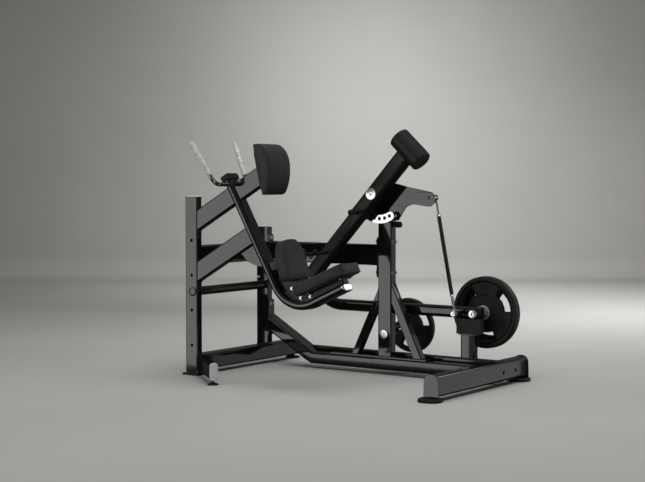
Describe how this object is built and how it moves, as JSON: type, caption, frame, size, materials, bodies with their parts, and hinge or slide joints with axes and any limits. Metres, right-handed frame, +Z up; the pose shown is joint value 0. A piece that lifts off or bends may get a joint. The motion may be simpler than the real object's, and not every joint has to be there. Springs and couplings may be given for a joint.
{
  "type": "pendulum kickback machine",
  "caption": "Plate-loaded leg kickback trainer: swinging kick arm with a barrel counterweight, tie rod and weight lever, chest, thigh and knee pads on a J-shaped tube, black tube frame.",
  "frame": {"origin": "on the floor, under the middle of the bounding box", "axes": "+X along the machine towards the weight plate end, +Y towards the side with the weight lever, +Z up; the user kneels on the -Y side and faces -X"},
  "size_m": [1.9815, 1.457, 1.575],
  "materials": {
    "powder_coat": "gloss black powder coat",
    "pad_board": "black-painted plywood",
    "chrome": "polished chrome plate",
    "satin_steel": "satin plated steel",
    "pad_leather": "matte dark grey synthetic leather",
    "foot_rubber": "matte black moulded rubber",
    "weight_coat": "matte black coating"
  },
  "bodies": {
    "frame": {"near_column": "powder_coat", "front_beam": "powder_coat", "far_column": "powder_coat", "upper_cross_beam": "powder_coat", "mid_cross_tube": "powder_coat", "upper_strut": "powder_coat", "lower_strut": "powder_coat", "chest_pad_post": "powder_coat", "j_tube": "powder_coat", "outrigger_leg": "powder_coat", "spine_beam": "powder_coat", "base_rail_near": "powder_coat", "base_rail_far": "powder_coat", "rail_flange": "powder_coat", "rear_beam": "powder_coat", "rear_beam_plate_near": "powder_coat", "rear_beam_plate_far": "powder_coat", "a_frame_plate": "powder_coat", "main_column": "powder_coat", "a_strut_front": "powder_coat", "a_strut_rear": "powder_coat", "rest_post": "powder_coat", "bearing_housing": "powder_coat", "lever_bracket": "powder_coat", "thigh_pad_bracket": "powder_coat", "knee_pad_bracket": "powder_coat", "chest_pad_board": "pad_board", "handlebar": "chrome", "j_tube_end_cap": "chrome", "outrigger_cap": "chrome", "storage_horn_cap": "chrome", "near_column_cap": "satin_steel", "storage_horn": "satin_steel", "chest_pad": "pad_leather", "thigh_pad": "pad_leather", "knee_pad": "pad_leather", "front_beam_foot": "foot_rubber", "levelling_foot": "foot_rubber", "rear_foot_near": "foot_rubber", "rear_foot_far": "foot_rubber", "stop_bumper": "foot_rubber", "j_tube_top_cap": "foot_rubber", "rest_block": "foot_rubber"},
    "kick_arm": {"arm_sleeve": "powder_coat", "counterweight": "weight_coat", "pivot_shaft": "chrome", "sector_plate": "chrome", "gooseneck_plate": "powder_coat"},
    "arm_extension": {"arm_extension": "powder_coat"},
    "foot_roller": {"foot_roller": "foot_rubber"},
    "pull_pin": {"pull_pin": "satin_steel"},
    "tie_rod": {"tie_rod": "powder_coat"},
    "weight_lever": {"weight_lever": "powder_coat", "load_horn": "satin_steel"},
    "plate_large": {"plate_large": "weight_coat", "plate_second": "weight_coat"},
    "plate_small": {"plate_small": "weight_coat"}
  },
  "joints": [
    {"name": "lever_swing", "type": "hinge", "parent": "frame", "child": "weight_lever", "pos_m": [-0.81075, 0.44945, 0.654], "axis": [0, -1, 0], "range_deg": [0, 11.5]},
    {"name": "arm_swing", "type": "hinge", "parent": "frame", "child": "kick_arm", "pos_m": [0.08825, 0.19345, 1.17], "axis": [0, -1, 0], "range_deg": [0, 45.2]},
    {"name": "tie_rod_swing", "type": "hinge", "parent": "kick_arm", "child": "tie_rod", "pos_m": [0.43425, 0.36045, 1.146], "axis": [0, -1, 0], "range_deg": [-38, 0]},
    {"name": "arm_extension_slide", "type": "slide", "parent": "kick_arm", "child": "arm_extension", "axis": [-0.6807, 0, -0.7325], "range_m": [0, 0.1]},
    {"name": "foot_roller_spin", "type": "hinge", "parent": "arm_extension", "child": "foot_roller", "pos_m": [-0.26981, -0.17905, 0.78468], "axis": [0, 1, 0], "continuous": true},
    {"name": "pull_pin_slide", "type": "slide", "parent": "kick_arm", "child": "pull_pin", "axis": [0, -1, 0], "range_m": [0, 0.012], "stiffness_N_per_m": 600, "springref_m": -0.01},
    {"name": "plate_large_slide", "type": "slide", "parent": "weight_lever", "child": "plate_large", "axis": [0, 1, 0], "range_m": [0, 0.15]},
    {"name": "plate_small_slide", "type": "slide", "parent": "frame", "child": "plate_small", "axis": [0, 0.9925, 0.1219], "range_m": [-0.09, 0.09]}
  ],
  "couplings": [
    {"joint": "arm_swing", "follows": "lever_swing", "ratio": 3.9139},
    {"joint": "tie_rod_swing", "follows": "lever_swing", "ratio": -3.2697}
  ]
}
